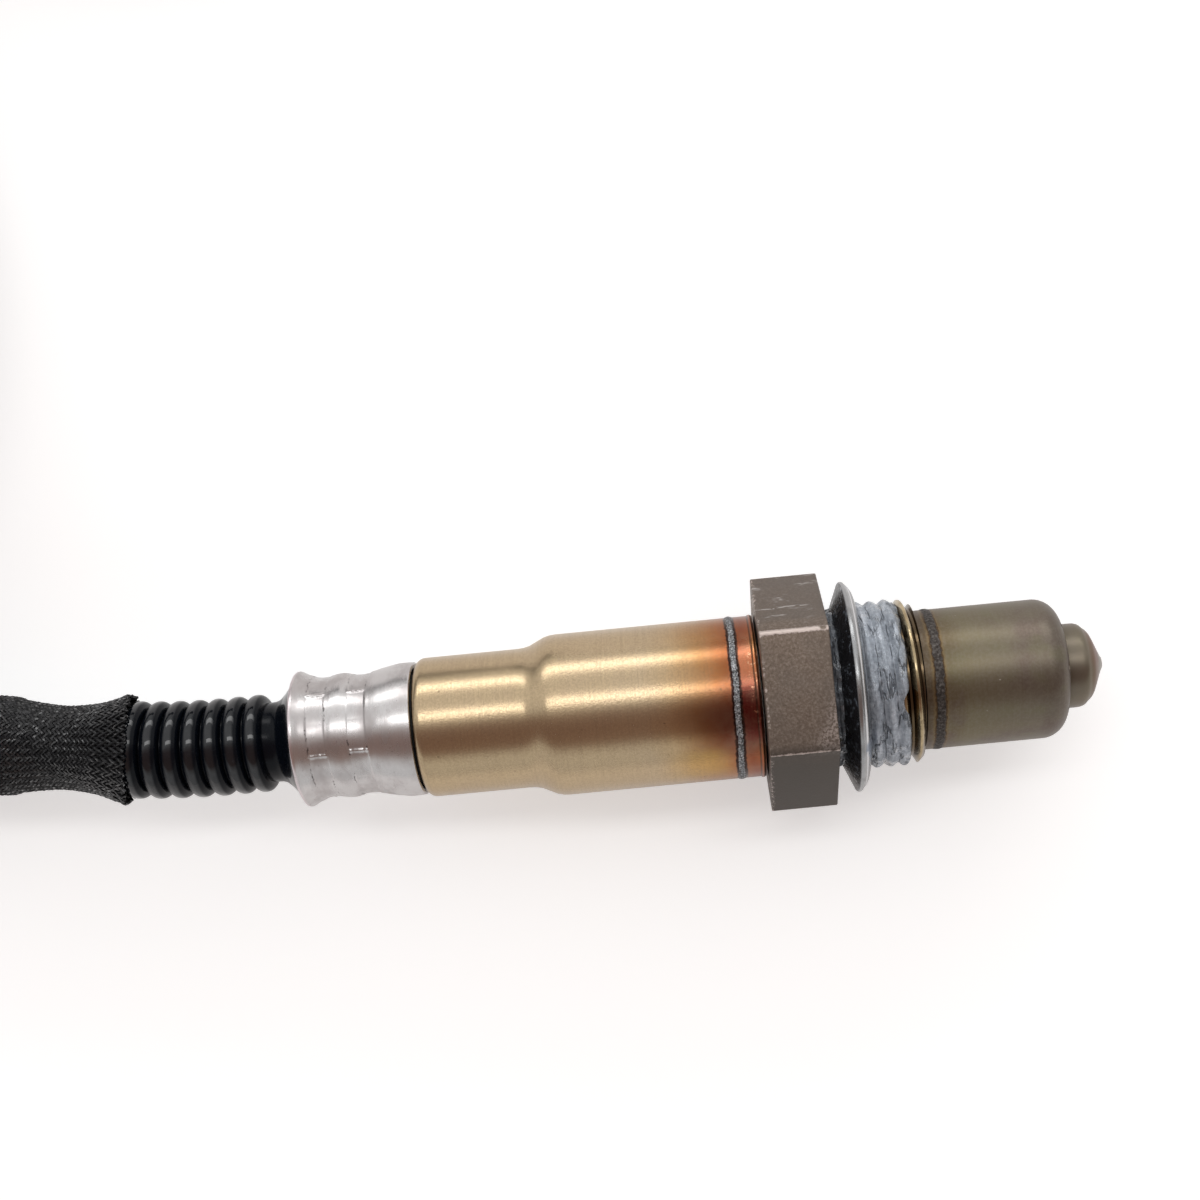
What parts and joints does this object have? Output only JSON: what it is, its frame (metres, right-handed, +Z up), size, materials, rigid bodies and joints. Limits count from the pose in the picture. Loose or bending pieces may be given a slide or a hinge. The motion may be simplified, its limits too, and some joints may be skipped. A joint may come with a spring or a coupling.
{
  "type": "oxygen sensor",
  "caption": "Planar exhaust oxygen sensor with M18 thread, hexagon, folded gasket, protection tubes, crimped sleeves, corrugated boot and a braided lead to a sealed connector.",
  "frame": {"origin": "on the sensor axis at the start of the thread, where the gasket seals", "axes": "+X along the sensor axis towards its tip, +Z up with the sensor lying on its gasket rim"},
  "size_m": [0.2431, 0.1431, 0.0229],
  "materials": {
    "housing_steel": "satin, heat-darkened",
    "gasket_steel": "satin",
    "tube_steel": "satin, heat-tinted",
    "nose_steel": "satin",
    "sleeve_steel": "satin, straw-gold tint",
    "crimp_steel": "bright",
    "element_ceramic": "matte",
    "bush_ceramic": "matte",
    "seal_powder": "matte",
    "contact_steel": "bright",
    "grommet_rubber": "satin",
    "boot_rubber": "glossy",
    "braid": "woven",
    "connector_plastic": "satin",
    "mat_rubber": "satin",
    "lock_plastic": "satin",
    "resistor_body": "matte",
    "wire_insulation": "satin",
    "terminal_metal": "satin"
  },
  "bodies": {
    "root": {"housing": "housing_steel", "sealing_gasket": "gasket_steel", "outer_protection_tube": "tube_steel", "inner_protection_tube": "nose_steel", "sensor_sleeve": "sleeve_steel", "crimp_sleeve": "crimp_steel", "sensor_element": "element_ceramic", "front_bush": "bush_ceramic", "powder_seal": "seal_powder", "rear_bush": "bush_ceramic", "press_ring": "contact_steel", "contact_holder_upper": "bush_ceramic", "contact_holder_lower": "bush_ceramic", "holder_clamp": "contact_steel", "wire_grommet": "grommet_rubber", "boot": "boot_rubber", "braid_end": "braid", "cable_lead": "braid", "cable_coil": "braid", "cable_tail": "braid", "connector_housing": "connector_plastic", "connector_cap": "connector_plastic", "wire_seal": "mat_rubber", "lock_slide": "lock_plastic", "trim_resistor": "resistor_body", "sleeve_end_ring": "boot_rubber", "contact_1": "contact_steel", "contact_2": "contact_steel", "contact_3": "contact_steel", "contact_4": "contact_steel", "contact_5": "contact_steel", "lead_wire_1": "wire_insulation", "lead_wire_2": "wire_insulation", "lead_wire_3": "wire_insulation", "lead_wire_4": "wire_insulation", "lead_wire_5": "wire_insulation", "tail_wire_1": "wire_insulation", "tail_wire_2": "wire_insulation", "tail_wire_3": "wire_insulation", "tail_wire_4": "wire_insulation", "tail_wire_5": "wire_insulation", "terminal_1": "terminal_metal", "terminal_2": "terminal_metal", "terminal_3": "terminal_metal", "terminal_4": "terminal_metal", "terminal_5": "terminal_metal", "terminal_6": "terminal_metal"}
  },
  "joints": []
}
